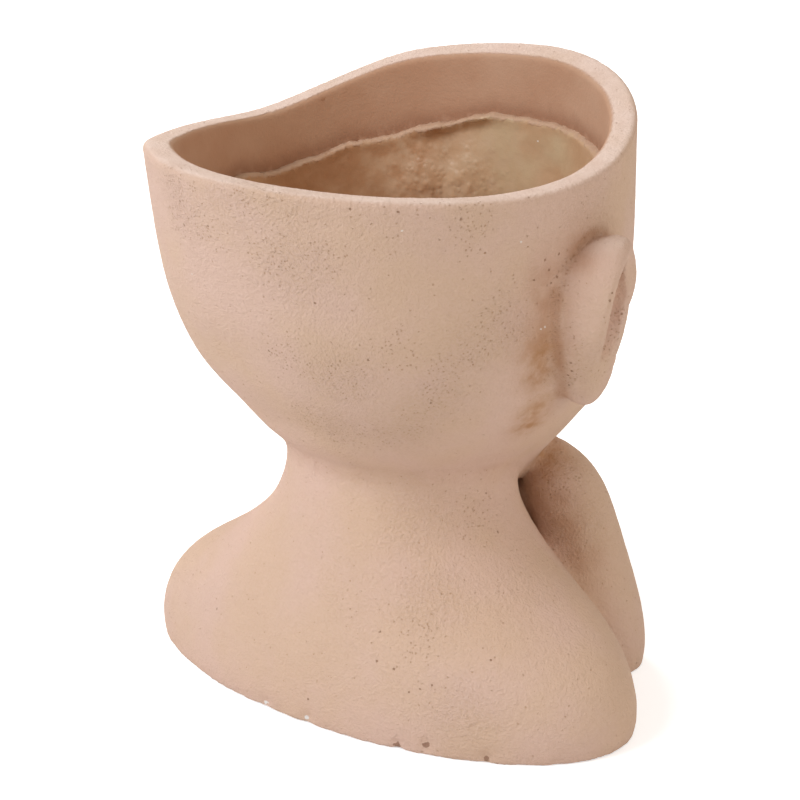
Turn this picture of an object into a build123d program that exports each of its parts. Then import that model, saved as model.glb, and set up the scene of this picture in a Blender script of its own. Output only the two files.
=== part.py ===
"""Head planter: an open-topped head on a neck and shoulders, its chin resting on two hands.

Millimetres, +Z up. The figure faces -Y and its left is +X. The origin is on the floor, under the neck.
The head is a bowl that plugs into the bust; ears and arms are cast apart and bonded on pegs.
"""

import os
from math import exp

from build123d import *

os.makedirs("parts", exist_ok=True)

# Joints and cuts
bond_gap = 0.25
running_clearance = 0.3
overrun = 6.0

# Head: outer form, rim and bowl
chin_height = 58.0
rim_front_height = 190.0
rim_low_height = 168.0
rim_back_height = 173.5
head_half_width = 69.5
head_front = 70.5
head_back = 79.5
wall = 7.7
bowl_lift = 8.0
rim_round = 1.6
chin_round = 5.0

# Head stations from the chin to above the rim, evenly spaced: half width, front, widest place and back.
# Front and widest place are shares of head_front, half width of head_half_width, back of head_back.
head_station_shares = [
    (0.300, 0.840, 0.600, -0.340),
    (0.450, 0.915, 0.350, 0.180),
    (0.625, 0.950, 0.180, 0.425),
    (0.785, 0.985, 0.075, 0.545),
    (0.890, 1.000, 0.020, 0.665),
    (0.945, 1.004, 0.000, 0.755),
    (0.970, 1.000, 0.000, 0.830),
    (0.983, 0.990, 0.000, 0.878),
    (0.990, 0.977, 0.000, 0.920),
    (0.995, 0.963, 0.000, 0.957),
    (0.998, 0.950, 0.000, 0.984),
    (1.000, 0.940, 0.000, 1.000),
    (1.000, 0.932, 0.000, 1.008),
]
head_station_rise = 11.7
levels_per_station = 3
front_roundness = 2.2
back_quarter_share = 0.7071
bowl_floor_station = 1

# Rim line seen from the side: place in front as a share of head_front and height as a share of the
# rise from the low point to the front, then the same behind with head_back and the rise to the back
rim_front_shares = [(0.945, 1.000), (0.667, 0.530), (0.355, 0.180), (0.000, 0.015)]
rim_back_shares = [(0.377, 0.080), (0.690, 0.450), (1.000, 1.000)]
rim_turn = -7.5

# Raw resin coat inside the bowl
lining_thickness = 2.2
lining_drop = 22.0

# Drain: spigot, bore and rubber plug
drain_centre = -10.0
spigot_radius = 15.0
spigot_end_height = 48.0
drain_radius = 7.0
plug_length = 15.0
plug_taper = 0.5
plug_flange_radius = 10.5
plug_flange_thickness = 2.6
plug_stem_radius = 2.6
plug_stem_height = 7.0
plug_knob_radius = 4.6

# Bust: neck and shoulders, hollow underneath
neck_half_width = 33.0
neck_half_depth = 34.0
neck_centre = -3.0
shoulder_half_width = 86.8
shoulder_half_depth = 44.0
shoulder_centre = 2.0
bust_wall = 8.5
hollow_drop = 4.0

# Bust stations from the floor up, evenly spaced: how far width and depth have gone from neck to shoulder
bust_station_shares = [
    (0.985, 0.980),
    (1.000, 1.000),
    (0.930, 0.950),
    (0.765, 0.850),
    (0.500, 0.670),
    (0.262, 0.460),
    (0.105, 0.260),
    (0.030, 0.090),
    (0.000, 0.000),
    (0.000, 0.000),
]
bust_station_rise = 9.6
hollow_stations = 7

# Face: places of its features
brow_height = 151.0
eye_height = 138.5
eye_offset = 27.5
nose_top_height = 146.0
nose_tip_height = 109.0
nose_base_height = 103.0
mouth_height = 87.5
chin_boss_height = 67.0
cheek_height = 115.0
cheek_offset = 42.0

# Face: half width, half height and rise of each feature; a rise below zero is a hollow
brow_half_width = 15.0
brow_half_height = 6.5
brow_rise = 1.6
socket_half_width = 17.0
socket_half_height = 10.0
socket_rise = -4.0
lid_half_width = 10.5
lid_half_height = 6.5
lid_rise = 4.4
cheek_half_width = 15.0
cheek_half_height = 15.0
cheek_rise = 1.6
nose_bridge_half_width = 6.0
nose_tip_half_width = 8.5
nose_rise = 8.0
nose_bridge_share = 0.34
nose_slope_power = 1.4
nose_fade_power = 6
nostril_offset = 8.5
nostril_half_width = 4.6
nostril_half_height = 4.6
nostril_rise = 4.2
muzzle_half_width = 24.0
muzzle_half_height = 17.0
muzzle_rise = 1.8
lip_half_width = 13.5
lip_half_height = 3.4
lip_spread = 4.4
lip_rise = 2.6
under_lip_drop = 12.0
under_lip_half_width = 15.0
under_lip_half_height = 4.5
under_lip_rise = -1.8
chin_half_width = 13.0
chin_half_height = 7.0
chin_rise = 2.6

# Points across half a section, from the middle of the face to the side, as shares of the half width
face_across_shares = [0.06, 0.12, 0.18, 0.25, 0.33, 0.42, 0.51, 0.61, 0.73, 0.88]

# Ears
ear_height = 51.0
ear_width = 29.0
ear_bottom_height = 101.0
ear_front = -18.0
ear_flare = 13.0
ear_roll = 12.0
ear_thickness = 20.0
ear_stand_off = 2.0
ear_peg_length = 4.0
concha_depth = 5.0
ear_ridge_radius = 2.4
ear_peg_share = 0.66
ear_peg_radius = 3.0

# Ear outline and hollow: shares of ear_width (from the face backwards) and ear_height (from the lobe up)
ear_outline_shares = [
    (0.20, 0.60),
    (0.12, 0.86),
    (0.44, 1.00),
    (0.84, 0.92),
    (1.00, 0.69),
    (0.93, 0.42),
    (0.72, 0.18),
    (0.48, 0.00),
    (0.27, 0.06),
    (0.23, 0.30),
]
concha_outline_shares = [
    (0.36, 0.62),
    (0.34, 0.80),
    (0.52, 0.90),
    (0.76, 0.82),
    (0.82, 0.64),
    (0.72, 0.42),
    (0.52, 0.30),
    (0.38, 0.40),
]
# Ridge inside the hollow, in the same shares
ear_ridge_shares = [(0.56, 0.34), (0.69, 0.50), (0.66, 0.69), (0.50, 0.80)]
# Ear layers from the rim to the root: depth as a share of ear_thickness, size as a share of the outline
# and how far it lies back as a share of ear_width
ear_layer_shares = [
    (0.00, 0.88, 0.00),
    (0.16, 1.00, 0.00),
    (0.45, 0.97, 0.03),
    (1.00, 0.84, 0.14),
]
ear_middle_shares = (0.50, 0.58)

# Arms: forearm from the elbow on the floor to the wrist, and the curled hand under the chin
elbow_offset = 47.2
elbow_front = 46.0
wrist_offset = 27.0
wrist_front = 48.0
arm_station_rise = 9.8
elbow_half_width = 14.5
elbow_half_depth = 15.0
palm_length = 36.0
palm_height = 46.0
palm_half_depth = 13.0
palm_half_height = 12.5
palm_front = 51.0
hand_gap = 0.5
finger_radius = 4.4
finger_pitch = 8.3
finger_reach = 13.0
finger_drop = 25.0
finger_bend = 5.6
thumb_radius = 4.8
thumb_end_radius = 3.9
thumb_root_inset = 3.0
thumb_root_height = 33.0
thumb_tip_inset = 19.0
thumb_tip_height = 41.0
thumb_lap = 1.5
arm_peg_radius = 3.0
arm_peg_length = 5.0

# Fingers from the middle outwards: shares of finger_reach and finger_drop
finger_shares = [(0.97, 0.92), (1.04, 1.00), (1.00, 0.97), (0.88, 0.84)]
# Forearm sections from the floor up, evenly spaced: how far the place has gone from elbow to wrist,
# and the share of the elbow's size
forearm_station_shares = [
    (0.00, 0.90),
    (0.06, 1.00),
    (0.18, 1.02),
    (0.32, 0.98),
    (0.48, 0.93),
    (0.66, 0.89),
    (0.86, 0.76),
    (1.00, 0.22),
]
# Palm sections from the wrist inwards: place along palm_length, and shares of its depth and height
palm_station_shares = [
    (0.00, 0.70, 0.70),
    (0.20, 0.94, 0.92),
    (0.55, 1.00, 1.00),
    (0.85, 0.86, 0.90),
    (1.00, 0.50, 0.55),
]


def swell(x, z, centre_x, centre_z, half_width, half_height):
    """A smooth hill of height one, falling off over the given half width and half height."""
    return exp(-(((x - centre_x) / half_width) ** 2) - ((z - centre_z) / half_height) ** 2)


def pair(x, z, offset, centre_z, half_width, half_height):
    """The same hill on both sides of the face."""
    return sum(swell(x, z, side * offset, centre_z, half_width, half_height) for side in (-1, 1))


def nose(x, z):
    """The nose's height over the face: a ridge that rises and widens from the brow down to the tip."""
    if z >= nose_tip_height:
        along = min(1, (z - nose_tip_height) / (nose_top_height - nose_tip_height))
        rise = nose_bridge_share + (1 - nose_bridge_share) * (1 - along) ** nose_slope_power
        fade = 1 - along**nose_fade_power
    else:
        along = 0
        rise = 1
        fade = exp(-(((nose_tip_height - z) / (nose_tip_height - nose_base_height)) ** 2))
    half_width = nose_tip_half_width + along * (nose_bridge_half_width - nose_tip_half_width)
    return nose_rise * rise * fade * exp(-((x / half_width) ** 2))


def relief(x, z):
    """How far the face stands out from the plain head at a place seen from the front."""
    lips = sum(
        swell(x, z, 0, mouth_height + side * lip_spread, lip_half_width, lip_half_height) for side in (-1, 1)
    )
    under_lip = swell(
        x, z, 0, mouth_height - under_lip_drop, under_lip_half_width, under_lip_half_height
    )
    return (
        nose(x, z)
        + brow_rise * pair(x, z, eye_offset, brow_height, brow_half_width, brow_half_height)
        + socket_rise * pair(x, z, eye_offset, eye_height, socket_half_width, socket_half_height)
        + lid_rise * pair(x, z, eye_offset, eye_height, lid_half_width, lid_half_height)
        + cheek_rise * pair(x, z, cheek_offset, cheek_height, cheek_half_width, cheek_half_height)
        + nostril_rise * pair(x, z, nostril_offset, nose_tip_height, nostril_half_width, nostril_half_height)
        + muzzle_rise * swell(x, z, 0, mouth_height, muzzle_half_width, muzzle_half_height)
        + lip_rise * lips
        + under_lip_rise * under_lip
        + chin_rise * swell(x, z, 0, chin_boss_height, chin_half_width, chin_half_height)
    )


def between_stations(place):
    """Head station shares at a place between stations, on a smooth curve through them."""
    last = len(head_station_shares) - 1
    number = min(int(place), last - 1)
    along = place - number
    before, here, after, beyond = (
        head_station_shares[min(max(number + step, 0), last)] for step in (-1, 0, 1, 2)
    )
    return [
        b + along / 2 * (c - a + along * (2 * a - 5 * b + 4 * c - d + along * (3 * (b - c) + d - a)))
        for a, b, c, d in zip(before, here, after, beyond)
    ]


def head_section(place, grow, lift, with_face):
    """One egg-shaped level section of the head, grown outwards and lifted."""
    width_share, front_share, widest_share, back_share = between_stations(place)
    height = chin_height + place * head_station_rise
    half_width = head_half_width * width_share + grow
    front = -head_front * front_share - grow
    widest = -head_front * widest_share
    back = head_back * back_share + grow
    back_x = back_quarter_share * half_width
    back_y = widest + back_quarter_share * (back - widest)
    right = []
    for across in face_across_shares:
        x = across * half_width
        y = widest + (front - widest) * (1 - across**front_roundness) ** (1 / front_roundness)
        right.append((x, y - relief(x, height) if with_face else y))
    middle = (0, front - relief(0, height) if with_face else front)
    half = right + [(half_width, widest), (back_x, back_y)]
    other_half = [(-x, y) for x, y in reversed(half)]
    with BuildSketch(Plane.XY.offset(height + lift)) as section:
        with BuildLine():
            Spline([(0, back)] + other_half + [middle] + half, periodic=True)
        make_face()
    return section.sketch


def head_form(grow=0, lift=0, first=0, with_face=False):
    """The head as one full solid from the station numbered first upwards, with or without its face."""
    levels = levels_per_station if with_face else 1
    count = (len(head_station_shares) - 1 - first) * levels + 1
    with BuildPart() as form:
        loft([head_section(first + level / levels, grow, lift, with_face) for level in range(count)])
        if with_face:
            fillet(form.faces().sort_by(Axis.Z)[0].edges(), chin_round)
    return form.part


def bust_section(number, grow, lift):
    """One level section of neck or shoulders, grown outwards and lifted."""
    width_share, depth_share = bust_station_shares[number]
    half_width = neck_half_width + width_share * (shoulder_half_width - neck_half_width) + grow
    half_depth = neck_half_depth + depth_share * (shoulder_half_depth - neck_half_depth) + grow
    centre = neck_centre + depth_share * (shoulder_centre - neck_centre)
    with BuildSketch(Plane((0, centre, number * bust_station_rise + lift))) as section:
        Ellipse(half_width, half_depth)
    return section.sketch


def bust_form(grow=0, lift=0, stations=len(bust_station_shares)):
    """Neck and shoulders as one full solid, through the given number of stations."""
    with BuildPart() as form:
        loft([bust_section(number, grow, lift) for number in range(stations)])
    return form.part


def above_rim(drop):
    """Everything above the wavy rim line lowered by drop; the line is a spline seen from the side."""
    reach = head_half_width + overrun
    top = chin_height + len(head_station_shares) * head_station_rise + bowl_lift + overrun
    low = rim_low_height - drop
    front = [
        (-head_front * along, low + rise * (rim_front_height - rim_low_height))
        for along, rise in rim_front_shares
    ]
    back = [
        (head_back * along, low + rise * (rim_back_height - rim_low_height))
        for along, rise in rim_back_shares
    ]
    line = front + back
    start = (line[0][0] - reach, line[0][1])
    end = (line[-1][0] + reach, line[-1][1])
    along = Vector(0, 1, 0).rotate(Axis.Z, rim_turn)
    across = Vector(1, 0, 0).rotate(Axis.Z, rim_turn)
    with BuildPart() as waste:
        with BuildSketch(Plane((0, 0, 0), x_dir=along, z_dir=across)) as profile:
            with BuildLine():
                Line(start, line[0])
                Spline(line)
                Polyline(line[-1], end, (end[0], top), (start[0], top), start)
            make_face()
        extrude(profile.sketch, amount=reach, both=True)
    return waste.part


def first_hit(form, start, direction):
    """The first point where a line from start meets the form."""
    line = Axis(start, direction)
    hits = [point for face in form.faces() for point, _ in face.find_intersection_points(line)]
    return min(hits, key=lambda point: (point - Vector(start)).dot(Vector(direction)))


def pin(plane, radius, below, above):
    """A round pin across a plane, from below it to above it."""
    with BuildPart() as body:
        with BuildSketch(plane.offset(-below)) as disc:
            Circle(radius)
        extrude(disc.sketch, amount=below + above)
    return body.part


outer_head = head_form(with_face=True)
fitted_head = head_form(grow=bond_gap, with_face=True)
fitted_bust = bust_form(grow=bond_gap)
far = 3 * head_back


def head_side(y, z):
    """The x of the head's right side at the given place."""
    return first_hit(outer_head, (-far, y, z), (1, 0, 0)).X


# Places where pieces meet
bowl_floor_height = chin_height + bowl_floor_station * head_station_rise + bowl_lift
lining_floor_height = bowl_floor_height + bond_gap + lining_thickness
ear_peg_y = ear_front + ear_peg_share * ear_width
ear_peg_height = ear_bottom_height + ear_height / 2
ear_peg_root = (head_side(ear_peg_y, ear_peg_height), ear_peg_y, ear_peg_height)
ear_peg_plane = Plane(ear_peg_root, x_dir=(0, 1, 0), z_dir=(1, 0, 0))
arm_peg_root = first_hit(outer_head, (-hand_gap - palm_length / 2, -palm_front, 0), (0, 0, 1))
arm_peg_plane = Plane(arm_peg_root)
spigot_plane = Plane((0, drain_centre, spigot_end_height))

# Head bowl: egg-shaped shell with the face, a wavy rim, a drain bore and a spigot for the neck
with BuildPart() as head_bowl:
    add(outer_head)
    add(pin(spigot_plane, spigot_radius, 0, bowl_floor_height - spigot_end_height))
    add(head_form(grow=-wall, lift=bowl_lift, first=bowl_floor_station), mode=Mode.SUBTRACT)
    add(above_rim(0), mode=Mode.SUBTRACT)
    fillet(head_bowl.faces().sort_by(Axis.Z)[-1].edges(), rim_round)
    drain_rise = bowl_floor_height - spigot_end_height + overrun
    add(pin(spigot_plane, drain_radius, overrun, drain_rise), mode=Mode.SUBTRACT)
    ear_socket = pin(ear_peg_plane, ear_peg_radius + bond_gap, overrun, ear_peg_length + bond_gap)
    arm_socket = pin(arm_peg_plane, arm_peg_radius + bond_gap, overrun, arm_peg_length + bond_gap)
    for socket in (ear_socket, arm_socket):
        add(socket, mode=Mode.SUBTRACT)
        mirror(socket, about=Plane.YZ, mode=Mode.SUBTRACT)
head_bowl.part.label = "head_bowl"
export_step(head_bowl.part, "parts/head_bowl.step")

# Resin lining: thin rough coat on the bowl's floor and walls, ending below the rim
lining_inset = wall + bond_gap
lining_lift = bowl_lift + bond_gap
with BuildPart() as resin_lining:
    add(head_form(grow=-lining_inset, lift=lining_lift, first=bowl_floor_station))
    add(
        head_form(
            grow=-lining_inset - lining_thickness,
            lift=lining_lift + lining_thickness,
            first=bowl_floor_station,
        ),
        mode=Mode.SUBTRACT,
    )
    add(above_rim(lining_drop), mode=Mode.SUBTRACT)
    add(pin(spigot_plane, drain_radius, 0, drain_rise), mode=Mode.SUBTRACT)
resin_lining.part.label = "resin_lining"
export_step(resin_lining.part, "parts/resin_lining.step")

# Drain plug: tapered rubber bung with a flange on the bowl's floor and a knob to pull it up by
plug_seat_height = lining_floor_height + running_clearance
plug_top_radius = drain_radius - running_clearance
plug_flange_top = plug_seat_height + plug_flange_thickness
plug_stem_top = plug_flange_top + plug_stem_height
with BuildPart() as drain_plug:
    with BuildSketch(Plane((0, drain_centre, 0), x_dir=(1, 0, 0), z_dir=(0, -1, 0))) as plug_half:
        with BuildLine():
            Polyline(
                (0, plug_seat_height - plug_length),
                (plug_top_radius - plug_taper, plug_seat_height - plug_length),
                (plug_top_radius, plug_seat_height),
                (plug_flange_radius, plug_seat_height),
                (plug_flange_radius, plug_flange_top),
                (plug_stem_radius, plug_flange_top),
                (plug_stem_radius, plug_stem_top),
                (0, plug_stem_top),
                close=True,
            )
        make_face()
    revolve(plug_half.sketch, axis=Axis((0, drain_centre, 0), (0, 0, 1)))
    with Locations((0, drain_centre, plug_stem_top)):
        Sphere(plug_knob_radius)
drain_plug.part.label = "drain_plug"
export_step(drain_plug.part, "parts/drain_plug.step")

# Bust base: neck and shoulders, hollow underneath, with a seat and a socket for the head
with BuildPart() as bust_base:
    add(bust_form())
    add(bust_form(grow=-bust_wall, lift=-hollow_drop, stations=hollow_stations), mode=Mode.SUBTRACT)
    add(fitted_head, mode=Mode.SUBTRACT)
    add(pin(spigot_plane, spigot_radius + bond_gap, overrun, drain_rise), mode=Mode.SUBTRACT)
bust_base.part.label = "bust_base"
export_step(bust_base.part, "parts/bust_base.step")

# Ears: flared plates with a hollow, filled behind, seated on the head and pegged into its wall
ear_origin = (head_side(ear_front, ear_peg_height) - ear_stand_off, ear_front, ear_bottom_height)
ear_back = Vector(0, 1, 0).rotate(Axis.Z, ear_flare)
ear_up = Vector(0, 0, 1).rotate(Axis.Y, -ear_roll)
ear_plane = Plane(ear_origin, x_dir=ear_back, z_dir=ear_back.cross(ear_up))


def ear_loop(shares, depth=0, size_share=1, back_share=0):
    """A closed smooth outline at a depth behind the ear's plane, drawn in about the ear's middle."""
    middle_across, middle_up = ear_middle_shares
    points = [
        (
            (middle_across + back_share + size_share * (across - middle_across)) * ear_width,
            (middle_up + size_share * (up - middle_up)) * ear_height,
        )
        for across, up in shares
    ]
    with BuildSketch(ear_plane.offset(depth)) as outline:
        with BuildLine():
            Spline(points, periodic=True)
        make_face()
    return outline.sketch


def ear_ridge():
    """The round ridge on the floor of the ear's hollow."""
    points = [(across * ear_width, up * ear_height) for across, up in ear_ridge_shares]
    with BuildPart() as body:
        with BuildLine(ear_plane.offset(concha_depth)) as path:
            Spline(points)
        with BuildSketch(Plane(path.line @ 0, z_dir=path.line % 0)) as round_section:
            Circle(ear_ridge_radius)
        sweep(round_section.sketch, path=path.line)
        for end in (path.line @ 0, path.line @ 1):
            with Locations(end):
                Sphere(ear_ridge_radius)
    return body.part


with BuildPart() as right_ear:
    loft(
        [
            ear_loop(ear_outline_shares, depth_share * ear_thickness, size_share, back_share)
            for depth_share, size_share, back_share in ear_layer_shares
        ]
    )
    extrude(ear_loop(concha_outline_shares), amount=concha_depth, mode=Mode.SUBTRACT)
    add(ear_ridge())
    add(fitted_head, mode=Mode.SUBTRACT)
    add(pin(ear_peg_plane, ear_peg_radius, ear_peg_length / 2, ear_peg_length))
right_ear.part.label = "right_ear"
export_step(right_ear.part, "parts/right_ear.step")

with BuildPart() as left_ear:
    mirror(right_ear.part, about=Plane.YZ)
left_ear.part.label = "left_ear"
export_step(left_ear.part, "parts/left_ear.step")


def forearm_section(number):
    """One level section of the right forearm."""
    along_share, size_share = forearm_station_shares[number]
    x = -elbow_offset + along_share * (elbow_offset - wrist_offset)
    y = -elbow_front + along_share * (elbow_front - wrist_front)
    with BuildSketch(Plane((x, y, number * arm_station_rise))) as section:
        Ellipse(elbow_half_width * size_share, elbow_half_depth * size_share)
    return section.sketch


def palm_section(station):
    """One upright section of the right palm, which runs from the wrist to the middle."""
    along_share, depth_share, height_share = station
    x = -hand_gap - palm_length * (1 - along_share)
    with BuildSketch(Plane((x, -palm_front, palm_height), x_dir=(0, 1, 0), z_dir=(1, 0, 0))) as section:
        Ellipse(palm_half_depth * depth_share, palm_half_height * height_share)
    return section.sketch


def finger(number):
    """One finger folded over the front of the palm: knuckle, first joint, second joint and tip."""
    reach_share, drop_share = finger_shares[number]
    plane = Plane(
        (-hand_gap - finger_radius - number * finger_pitch, -palm_front, palm_height),
        x_dir=(0, -1, 0),
        z_dir=(1, 0, 0),
    )
    reach = finger_reach * reach_share - finger_radius
    half_drop = finger_drop * drop_share / 2 - finger_radius
    with BuildPart() as body:
        with BuildLine(plane) as path:
            FilletPolyline(
                (0, half_drop),
                (reach, half_drop),
                (reach, -half_drop),
                (0, -half_drop),
                radius=finger_bend,
            )
        with BuildSketch(Plane(path.line @ 0, z_dir=path.line % 0)) as round_section:
            Circle(finger_radius)
        sweep(round_section.sketch, path=path.line)
    return body.part


def thumb():
    """The thumb, laid from the middle over the front of the first two fingers."""
    front = -palm_front - finger_reach - thumb_end_radius + thumb_lap
    root = Vector(-hand_gap - thumb_radius - thumb_root_inset, -palm_front, thumb_root_height)
    tip = Vector(-hand_gap - thumb_tip_inset, front, thumb_tip_height)
    with BuildPart() as body:
        with BuildSketch(Plane(root, z_dir=tip - root)) as root_section:
            Circle(thumb_radius)
        with BuildSketch(Plane(tip, z_dir=tip - root)) as tip_section:
            Circle(thumb_end_radius)
        loft([root_section.sketch, tip_section.sketch])
        with Locations(tip):
            Sphere(thumb_end_radius)
        with Locations(root):
            Sphere(thumb_radius)
    return body.part


# Arms: forearm from the elbow on the floor, with the hand curled under the chin
with BuildPart() as right_arm:
    loft([forearm_section(number) for number in range(len(forearm_station_shares))])
    loft([palm_section(station) for station in palm_station_shares])
    for number in range(len(finger_shares)):
        add(finger(number))
    add(thumb())
    add(fitted_head, mode=Mode.SUBTRACT)
    add(fitted_bust, mode=Mode.SUBTRACT)
    add(pin(arm_peg_plane, arm_peg_radius, arm_peg_length, arm_peg_length))
right_arm.part.label = "right_arm"
export_step(right_arm.part, "parts/right_arm.step")

with BuildPart() as left_arm:
    mirror(right_arm.part, about=Plane.YZ)
left_arm.part.label = "left_arm"
export_step(left_arm.part, "parts/left_arm.step")
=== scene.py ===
"""Looks of the head planter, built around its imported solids.

Metres, +Z up, in the solids' own frame: the figure faces -Y and its left is +X.
"""

import math

import bmesh
import bpy
import numpy as np
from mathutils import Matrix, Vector, noise
from mathutils.bvhtree import BVHTree


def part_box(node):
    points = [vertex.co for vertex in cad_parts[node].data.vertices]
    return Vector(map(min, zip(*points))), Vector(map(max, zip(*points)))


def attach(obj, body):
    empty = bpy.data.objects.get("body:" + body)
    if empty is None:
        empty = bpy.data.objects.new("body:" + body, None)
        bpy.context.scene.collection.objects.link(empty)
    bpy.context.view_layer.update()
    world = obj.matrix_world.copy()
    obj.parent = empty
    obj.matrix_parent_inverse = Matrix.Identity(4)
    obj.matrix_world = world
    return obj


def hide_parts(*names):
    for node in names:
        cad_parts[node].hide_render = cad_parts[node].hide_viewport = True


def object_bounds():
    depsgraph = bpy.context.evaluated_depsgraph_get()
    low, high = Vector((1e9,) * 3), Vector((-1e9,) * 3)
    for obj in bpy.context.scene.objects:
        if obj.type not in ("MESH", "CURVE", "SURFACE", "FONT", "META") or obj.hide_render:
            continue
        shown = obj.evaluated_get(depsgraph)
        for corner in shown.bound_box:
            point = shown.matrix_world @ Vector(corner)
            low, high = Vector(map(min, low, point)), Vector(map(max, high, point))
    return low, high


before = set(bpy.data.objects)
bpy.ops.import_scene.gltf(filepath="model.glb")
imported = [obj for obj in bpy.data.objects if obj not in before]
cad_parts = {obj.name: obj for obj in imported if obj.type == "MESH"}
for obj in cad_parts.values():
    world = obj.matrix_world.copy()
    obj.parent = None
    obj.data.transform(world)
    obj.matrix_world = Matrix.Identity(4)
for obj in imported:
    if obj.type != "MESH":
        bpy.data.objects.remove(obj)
cad_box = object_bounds()

MM = 0.001
UP = Vector((0, 0, 1))

# Camera, fitted to the photograph's square frame
PHOTO_PIXELS = 800
CAMERA_AZIMUTH = math.radians(218.0)
CAMERA_ELEVATION = math.radians(19.2)
CAMERA_DISTANCE = 740 * MM
CAMERA_TARGET = Vector((-1.6 * MM, -1.2 * MM, 89.5 * MM))
CAMERA_LENS = 110.25
CAMERA_SENSOR = 36.0

# Light. A lamp's place is along the picture's right, the world's up and the way to the camera, in metres.
WHITE = (1.0, 1.0, 1.0)
WORLD_LIGHT = 0.45
WORLD_COLOUR = (1.0, 0.95, 0.88)
KEY_PLACE = (-0.92, 0.88, 0.52)
KEY_SIZE = 0.7
KEY_POWER = 11.2
KEY_COLOUR = (0.97, 1.02, 1.12)
FILL_PLACE = (1.0, 0.45, 0.7)
FILL_SIZE = 0.9
FILL_POWER = 3.6
FILL_COLOUR = (1.0, 0.93, 0.85)
FRONT_PLACE = (-0.35, 0.75, -1.1)
FRONT_SIZE = 0.5
FRONT_POWER = 5.0

# Floor
FLOOR_SIZE = 8.0
FLOOR_DROP = 0.2 * MM
FLOOR_COLOUR = (0.86, 0.86, 0.86, 1)
FLOOR_ROUGHNESS = 0.9
FLOOR_SPECULAR = 0.1
FLOOR_LIFT = 0.55

# Meshes: the two steps of a round of smoothing, how often filler takes new normals, and how far apart the
# noises of two seeds are
SMOOTH_STEPS = (0.5, -0.52)
NORMALS_ROUNDS = 6
SEED_STEP = np.array((17.3, 5.1, 9.7))

# Cast body: one skin over the bonded castings, as paint covers their joints
CAST_NODES = ("head_bowl", "bust_base", "right_ear", "left_ear", "right_arm", "left_arm")
CAST_VOXEL = 0.9 * MM
CAST_TRIANGLES = 196000
# Rounds of smoothing after the remesh, after the points are back on the solids, and after the filler
CAST_SMOOTHING = (10, 2, 1)
EAR_ROOT_OFFSET = 60.5 * MM
EAR_CRISP_HEIGHT = 150 * MM
EAR_SOFT_HEIGHT = 112 * MM
NECK_CENTRE = np.array((0, -3 * MM))
NECK_CORE_RADIUS = 26 * MM
RIM_HEIGHT = 130 * MM
RIM_FACING = (0.6, 0.95)

# Joints that filler rounds off: the two solids, how far it reaches, how many times it is worked, and the
# share of painted shade and brown wash that stays in the corner
JOINTS = (
    ("head_bowl", "bust_base", 13 * MM, 80, 0.25),
    ("head_bowl", "right_ear", 9 * MM, 60, 1.0),
    ("head_bowl", "left_ear", 9 * MM, 60, 1.0),
    ("head_bowl", "right_arm", 4 * MM, 14, 0.8),
    ("head_bowl", "left_arm", 4 * MM, 14, 0.8),
    ("bust_base", "right_arm", 7 * MM, 35, 0.8),
    ("bust_base", "left_arm", 7 * MM, 35, 0.8),
    ("right_arm", "left_arm", 7 * MM, 40, 0.5),
)
# Filler is full within half its reach, and the painted shade and brown wash reach less far
JOINT_GAIN = 2
SHADE_REACH_SHARE = 0.4

# Waves, grain and chips in the cast surface: size and depth
WAVE = (26 * MM, 0.25 * MM)
WAVE_SEED = 1
GRAIN = (2.4 * MM, 0.07 * MM)
GRAIN_SEED = 2
GRAIN_INSIDE = 0.25
FOOT_WAVE = (7 * MM, 0.3 * MM)
FOOT_HEIGHT = 5 * MM
FOOT_SEED = 4
CHIP = (2.2 * MM, 0.9 * MM)
CHIP_SHARE = 0.55
BARE_CHIP_SHARE = 0.4
PIT_RADIUS = 0.42 * MM
FLECK_RADIUS = 0.4 * MM

# Marks placed by pixels of the photograph
PIT_PIXELS = (
    (486, 493), (498, 532), (380, 632), (377, 661), (394, 669), (432, 685), (409, 692), (420, 689),
    (491, 660), (308, 699), (217, 609), (559, 254), (545, 260), (549, 270), (551, 283), (557, 277),
    (534, 280), (571, 363), (568, 375), (572, 371), (569, 385), (612, 293), (610, 301), (622, 314),
    (461, 219), (398, 212), (350, 209), (184, 225), (208, 226), (180, 201), (269, 351), (315, 303),
    (368, 360), (431, 403),
)
FLECK_PIXELS = ((541, 329), (545, 327), (402, 231), (461, 198), (521, 242), (192, 274))
BOWL_FLECK_PIXELS = ((529, 102), (538, 141))
CHIP_PIXELS = ((398, 745), (426, 745), (486, 758))
BARE_CHIP_PIXELS = ((266, 702), (307, 717))
# Orange-brown stain behind the ear and on the jaw, partly painted shade, also on the forearm's shaded top
STAIN_AND_SHADE_PIXELS = ((539, 374), (541, 352), (530, 424), (536, 410), (548, 456))
STAIN_AND_SHADE_RADIUS = 6 * MM
# Painted shade on the shaded side of the forearm and in the crease behind the ear
SIDE_SHADE_PIXELS = (
    (545, 300), (552, 275), (570, 255), (545, 470), (550, 500), (562, 530), (578, 560), (540, 330),
)
SIDE_SHADE_RADIUS = 8 * MM
ROUGH_PIXELS = (
    (470, 350), (440, 400), (500, 330), (400, 430), (330, 425), (430, 600), (420, 520), (570, 370),
    (180, 200), (230, 195), (280, 195), (290, 265), (340, 380), (560, 480), (575, 520), (590, 345),
    (590, 220), (460, 720),
)
ROUGH_RADIUS = 13 * MM
ROUGH_PATCH_SIZE = 2.4 * ROUGH_RADIUS
ROUGH_PATCH_LEVELS = (0.1, 0.5)
ROUGH_PATCH_SEED = 6
ROUGH_PATCH_SHARE = 0.35
PITTED_PATCH_SHARE = 0.15
CREASE_SHARE = 0.6
SMOOTH_PIXELS = ((600, 270), (590, 310))
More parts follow.
